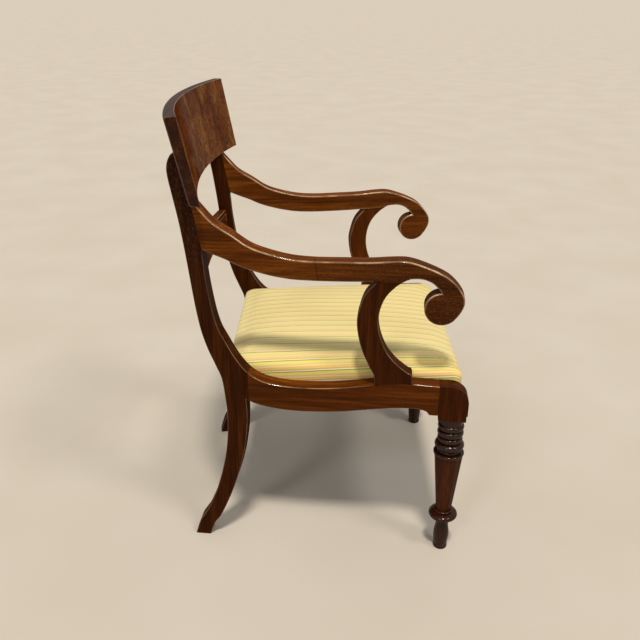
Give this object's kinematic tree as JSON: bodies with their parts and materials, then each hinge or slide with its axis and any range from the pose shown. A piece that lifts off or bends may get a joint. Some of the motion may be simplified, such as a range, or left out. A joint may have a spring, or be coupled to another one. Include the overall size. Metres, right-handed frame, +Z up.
{
  "type": "desk chair",
  "caption": "Open armchair for a desk: sabre rear legs, turned front legs, scrolled arms, a curved tablet crest, a lower cross rail and a striped drop-in seat.",
  "frame": {"origin": "on the floor, under the middle of the chair's width and depth", "axes": "+Z up, the front of the chair faces -Y, +X to the left of the person who sits"},
  "size_m": [0.564, 0.586, 0.91],
  "materials": {
    "mahogany": "polished",
    "mahogany_dark": "polished",
    "figured_mahogany": "polished",
    "beech": "planed",
    "striped_cloth": "woven",
    "horsehair": "matte",
    "jute": "woven",
    "black_cloth": "woven",
    "steel": "brushed"
  },
  "bodies": {
    "chair_frame": {"rear_leg_right": "mahogany", "rear_leg_left": "mahogany", "side_rail_right": "mahogany", "side_rail_left": "mahogany", "front_leg_right": "mahogany_dark", "front_leg_left": "mahogany_dark", "front_rail": "mahogany", "back_rail": "mahogany", "crest_rail": "mahogany", "crest_veneer": "figured_mahogany", "cross_rail": "mahogany", "arm_right": "mahogany", "arm_left": "mahogany", "arm_support_right": "mahogany", "arm_support_left": "mahogany", "corner_blocks": "beech", "corner_block_screws": "steel", "support_dowels": "beech", "support_screws": "steel", "arm_screws": "steel", "crest_screws": "steel", "screw_plugs": "mahogany"},
    "drop_in_seat": {"seat_rail_front": "beech", "seat_rail_back": "beech", "seat_rail_right": "beech", "seat_rail_left": "beech", "webbing_long": "jute", "webbing_cross": "jute", "webbing_tacks": "steel", "hessian": "jute", "seat_stuffing": "horsehair", "seat_cover": "striped_cloth", "dust_cloth": "black_cloth", "cover_tacks": "steel"}
  },
  "joints": [
    {"name": "seat_lift", "type": "slide", "parent": "chair_frame", "child": "drop_in_seat", "axis": [0, 0, 1], "range_m": [0, 0.12]}
  ]
}
